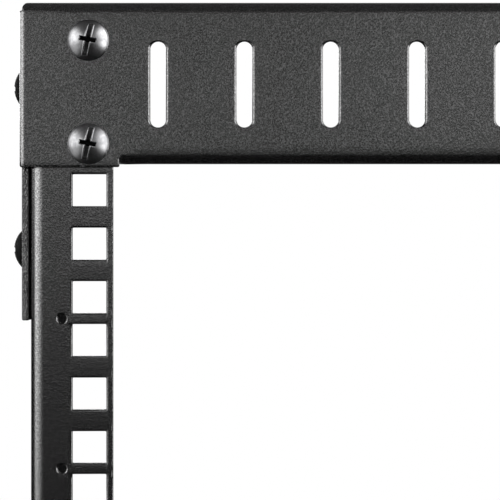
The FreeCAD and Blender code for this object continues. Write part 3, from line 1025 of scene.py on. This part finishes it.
def at_each_corner(seats, out):
    """Seats and outward directions of the upper left corner's screws and their likes, corner after corner.

    The corners are upper left, upper right, lower left and lower right.
    """
    return [(np.array(seat) * (x_way, 1, z_way) + (0, 0, base), out * (x_way, 1, 1))
            for z_way, base in ((1, 0.0), (-1, 2 * MIDDLE_Z)) for x_way in (1, -1) for seat in seats]


def add_screws(name, seats, out, depth, steps, blackened):
    """Makes one object of screws and one of nuts, from the seats in the upper left corner.

    depth is that of the sheets they hold, and blackened how far the plating is black, from bright 0 to 1.
    """
    steel = screw_steel()
    rods, shares, nuts = [], [], []
    for number, (seat, way) in enumerate(at_each_corner(seats, out)):
        points, faces, recess_shade_and_black = screw_head(seat, way, steps, tilt_of(number))
        shank = threaded_shank(seat, way, depth)
        rods += [(points, faces), shank]
        # Painted shade in the drive slots, and black plating where blackened, kept as one share per point.
        shares += [np.maximum(recess_shade_and_black, blackened), np.full(len(shank[0]), blackened)]
        nuts.append(hex_nut(seat, way, depth, 0.7 * number))
    piece = add_piece(f"{name}_screws", *joined(rods), steel, "screw_steel")
    attribute = piece.data.attributes.new("recess_shade_and_black", "FLOAT", "POINT")
    attribute.data.foreach_set("value", np.concatenate(shares))
    nut_piece = add_piece(f"{name}_nuts", *joined(nuts), steel, "screw_steel")
    bevel = nut_piece.modifiers.new("edges", "BEVEL")
    bevel.width, bevel.segments, bevel.angle_limit = NUT_EDGE, 2, math.radians(25)
    nut_piece.modifiers.new("flat faces", "WEIGHTED_NORMAL")


class RACK_OT_rails(bpy.types.Operator):
    """Fold and perforate the two rails"""
    bl_idname = "rack.rails"
    bl_label = "Rails"

    def execute(self, context):
        add_pair(("rail_left", "rail_right"), rail(), context.scene.rack_sheet.rail_edge, 2)
        return {"FINISHED"}


class RACK_OT_front_plates(bpy.types.Operator):
    """Fold and slot the two front plates"""
    bl_idname = "rack.front_plates"
    bl_label = "Front plates"

    def execute(self, context):
        edge = context.scene.rack_sheet.plate_edge
        add_pair(("front_plate_top", "front_plate_bottom"), front_plate(), edge, 3)
        return {"FINISHED"}


class RACK_OT_depth_arms(bpy.types.Operator):
    """Fold the four depth arms"""
    bl_idname = "rack.depth_arms"
    bl_label = "Depth arms"

    def execute(self, context):
        points, faces, walls = depth_arm()
        other, other_faces = mirrored_across(points, faces)
        for corner, place, some in (("top_left", points, faces), ("top_right", other, other_faces),
                                    ("bottom_left", turned_over(other), other_faces),
                                    ("bottom_right", turned_over(points), faces)):
            add_sheet(f"depth_arm_{corner}", place, some, walls, context.scene.rack_sheet.rail_edge, 2)
        return {"FINISHED"}


class RACK_OT_wall_bars(bpy.types.Operator):
    """Fold the two wall bars"""
    bl_idname = "rack.wall_bars"
    bl_label = "Wall bars"

    def execute(self, context):
        add_pair(("wall_bar_top", "wall_bar_bottom"), wall_bar(), context.scene.rack_sheet.rail_edge, 2)
        return {"FINISHED"}


class RACK_OT_front_screws(bpy.types.Operator):
    """Screw the front plates to the rails"""
    bl_idname = "rack.front_screws"
    bl_label = "Front screws"

    def execute(self, context):
        seats = [(-column_x(), FRONT_Y, z) for z in front_screw_heights()]
        add_screws("front", seats, -Y_AXIS, 2 * context.scene.rack_sheet.thickness, FINE_HEAD, 0.0)
        return {"FINISHED"}


class RACK_OT_side_screws(bpy.types.Operator):
    """Screw the side flanges to the rails"""
    bl_idname = "rack.side_screws"
    bl_label = "Side screws"

    def execute(self, context):
        holes = context.scene.rack_holes
        depth = SIDE_X + RAIL_MIN[0] + context.scene.rack_sheet.thickness
        seats = [(-SIDE_X, FRONT_Y + holes.side_screw_depth, z) for z in (0.0, -holes.side_screw_pitch)]
        add_screws("side", seats, -X_AXIS, depth, PLAIN_HEAD, 1.0)
        return {"FINISHED"}


class RACK_OT_arm_screws(bpy.types.Operator):
    """Screw the side flanges to the depth arms"""
    bl_idname = "rack.arm_screws"
    bl_label = "Arm screws"

    def execute(self, context):
        holes = context.scene.rack_holes
        front = FRONT_Y + holes.arm_screw_depth
        seats = [(-SIDE_X, y, 0.0) for y in (front, front + holes.arm_screw_pitch)]
        add_screws("arm", seats, -X_AXIS, 2 * context.scene.rack_sheet.thickness, PLAIN_HEAD, 1.0)
        return {"FINISHED"}


class RACK_OT_wall_screws(bpy.types.Operator):
    """Screw the wall bars' tabs to the arms"""
    bl_idname = "rack.wall_screws"
    bl_label = "Wall bar screws"

    def execute(self, context):
        holes = context.scene.rack_holes
        rear = -holes.wall_screw_depth
        seats = [(ARM_MIN[0], y, 0.0) for y in (rear, rear - holes.wall_screw_pitch)]
        add_screws("wall", seats, -X_AXIS, 2 * context.scene.rack_sheet.thickness, PLAIN_HEAD, 1.0)
        return {"FINISHED"}


def add_panel(name, middle, facing, size, radiance):
    """A soft rectangular lamp that faces a way and is out of the camera's sight."""
    lamp = bpy.data.lights.new(name, "AREA")
    lamp.shape = "RECTANGLE"
    lamp.size, lamp.size_y = size
    lamp.energy = radiance * math.pi * size[0] * size[1]
    piece = bpy.data.objects.new(name, lamp)
    back = -np.array(facing) / np.linalg.norm(facing)
    side = np.cross(Z_AXIS, back)
    side /= np.linalg.norm(side)
    matrix = np.eye(4)
    matrix[:3] = np.stack([side, np.cross(back, side), back, middle], axis=1)
    piece.matrix_world = matrix.tolist()
    piece.visible_camera = piece.visible_glossy = False
    bpy.context.scene.collection.objects.link(piece)


def floor_material(stage):
    """Pale matt floor with a faint mottle and the rack's shadow, whiter to the camera and through glass.

    Gloss sees the studio through it.
    """
    made = bpy.data.materials.new("floor_pale")
    shader = Shader(made)
    place = shader.node("ShaderNodeTexCoord", output="Object")
    pale, less = (opaque([share * level for level in stage.floor_colour]) for share in (1.0, 0.97))
    colour = shader.mix(shader.noise(place, MOTTLE_SCALE, 4.0), pale, less)
    lift = shader.mix(shader.looked_at(), grey(0.0), grey(stage.floor_lift))
    surface = shader.node("ShaderNodeBsdfPrincipled", {},
                          {"Base Color": colour, "Roughness": 0.9, "Specular IOR Level": 0.0,
                           "Alpha": 1 - shader.ray("Is Glossy Ray"), "Emission Color": lift,
                           "Emission Strength": 1.0})
    shader.node("ShaderNodeOutputMaterial", {}, {"Surface": surface})
    return made


def add_floor(stage):
    """A round pale floor just under the rack: rings of points from its middle outwards."""
    level = 2 * MIDDLE_Z - PLATE_MAX[2] - FLOOR_GAP
    rings = stage.floor_radius * np.linspace(0.02, 1, 24)
    angle = 2 * math.pi * np.arange(96) / 96
    x, y = np.multiply.outer(rings, np.cos(angle)), np.multiply.outer(rings, np.sin(angle))
    points = np.stack([x, y, np.full(x.shape, level)], axis=-1).reshape(-1, 3)
    index = np.arange(len(points)).reshape(len(rings), -1)
    mesh = bpy.data.meshes.new("floor")
    mesh.from_pydata(points.tolist(), [], [*ring_quads(index)[:, ::-1].tolist(), index[0].tolist()])
    mesh.materials.append(floor_material(stage))
    floor = bpy.data.objects.new("floor", mesh)
    bpy.context.scene.collection.objects.link(floor)


def set_world(stage):
    """The studio: white to the camera and through glass, soft boxes to gloss, and even light to the rest.

    A direction is told by its height, its azimuth, which is 0 straight ahead of the rack and grows to the
    right, its turn away from straight ahead, and its roll above or below the level around that line, in
    degrees. A soft box is a band of two of these with blurred edges.
    """
    world = bpy.data.worlds.new("studio")
    world.cycles.sampling_method = "NONE"
    bpy.context.scene.world = world
    shader = Shader(world)
    way = shader.node("ShaderNodeTexCoord", output="Generated")
    split = shader.node("ShaderNodeSeparateXYZ", {}, {"Vector": way})
    east, north, height = (Wire(shader, socket) for socket in split.socket.node.outputs)

    def maths(operation, *values):
        return shader.node("ShaderNodeMath", {"operation": operation}, dict(enumerate(values)))

    azimuth = maths("ARCTAN2", east, 0 - north) * math.degrees(1)
    turn = maths("ARCCOSINE", 0 - north) * math.degrees(1)
    roll = maths("ARCTAN2", height, maths("ABSOLUTE", east)) * math.degrees(1)
    right = shader.step(east, -0.01, 0.01)

    def band(value, low, high, blur):
        rise = shader.step(value, low - blur / 2, low + blur / 2)
        return rise * (1 - shader.step(value, high - blur / 2, high + blur / 2))

    front = band(azimuth, -14, 14, 12) * band(height, -0.006, 0.165, 0.05)
    wings = band(maths("ABSOLUTE", azimuth + 1.0), 8, 40, 6) * band(height, 0.065, 0.30, 0.04)
    left_box = shader.step(turn, 12, 70) * (1 - shader.step(turn, 78, 98))
    left_box = left_box * band(roll, -42, 40, 20) * (0.26 + 0.74 * shader.step(roll, -14, 4))
    right_box = shader.step(turn, 30, 72) * (1 - shader.step(turn, 80, 100)) * band(roll, -20, 48, 20)
    left_rear = shader.step(turn, 86, 104) * band(height, 0.075, 0.19, 0.03)
    right_rear = band(turn, 108, 150, 16) * band(height, -0.05, 0.17, 0.10)
    light = stage.room_light + stage.ceiling_light * shader.step(height, 0.15, 0.5)
    light = light + stage.front_light * (front + wings)
    light = light + (1 - right) * (stage.side_light * left_box + stage.rear_light * left_rear)
    light = light + right * (stage.side_light * 1.25 * right_box + stage.rear_light * right_rear)
    boxes = shader.node("ShaderNodeCombineColor", {}, {0: light, 1: light, 2: light})
    colour = shader.mix(shader.ray("Is Glossy Ray"), grey(stage.even_light), boxes)
    colour = shader.mix(shader.looked_at(), colour, grey(1.0))
    sky = shader.node("ShaderNodeBackground", {}, {"Color": colour, "Strength": 1.0})
    shader.node("ShaderNodeOutputWorld", {}, {"Surface": sky})


def add_camera(stage):
    """A camera that looks straight along +Y."""
    lens = bpy.data.cameras.new("camera")
    lens.lens = stage.lens
    lens.sensor_width = 36.0
    lens.clip_start, lens.clip_end = 0.01, 100.0
    camera = bpy.data.objects.new("camera", lens)
    camera.location = stage.camera_place
    camera.rotation_euler = (math.pi / 2, 0, 0)
    bpy.context.scene.collection.objects.link(camera)
    bpy.context.scene.camera = camera


class RACK_OT_stage(bpy.types.Operator):
    """Set the floor, the light and the camera"""
    bl_idname = "rack.stage"
    bl_label = "Stage"

    def execute(self, context):
        stage = context.scene.rack_stage
        context.scene.view_settings.view_transform = "Standard"
        add_floor(stage)
        set_world(stage)
        add_camera(stage)
        add_panel("panel_top", (-0.5, -0.9, 2.4), (0.2, 0.4, -1.0), (1.8, 1.8), stage.top_light)
        return {"FINISHED"}


class RACK_PT_pieces(bpy.types.Panel):
    """Lists the rack's pieces and their sizes"""
    bl_idname = "RACK_PT_pieces"
    bl_label = "Rack"
    bl_space_type = "VIEW_3D"
    bl_region_type = "UI"
    bl_category = "Rack"

    def draw(self, context):
        for operator in PIECES:
            self.layout.operator(operator.bl_idname)
        for group in GROUPS:
            box = self.layout.box()
            for key in GROUPS[group].__annotations__:
                box.prop(getattr(context.scene, group), key)


GROUPS = {"rack_sheet": RackSheet, "rack_holes": RackHoles, "rack_screws": RackScrews,
          "rack_finish": RackFinish, "rack_stage": RackStage}
PIECES = (RACK_OT_rails, RACK_OT_front_plates, RACK_OT_depth_arms, RACK_OT_wall_bars, RACK_OT_front_screws,
          RACK_OT_side_screws, RACK_OT_arm_screws, RACK_OT_wall_screws, RACK_OT_stage)


def register():
    for cls in (*GROUPS.values(), *PIECES, RACK_PT_pieces):
        bpy.utils.register_class(cls)
    for key, cls in GROUPS.items():
        setattr(bpy.types.Scene, key, bpy.props.PointerProperty(type=cls))


def unregister():
    for key in GROUPS:
        delattr(bpy.types.Scene, key)
    for cls in reversed((*GROUPS.values(), *PIECES, RACK_PT_pieces)):
        bpy.utils.unregister_class(cls)


def main():
    register()
    for operator in PIECES:
        group, name = operator.bl_idname.split(".")
        getattr(getattr(bpy.ops, group), name)()


if __name__ == "__main__":
    main()
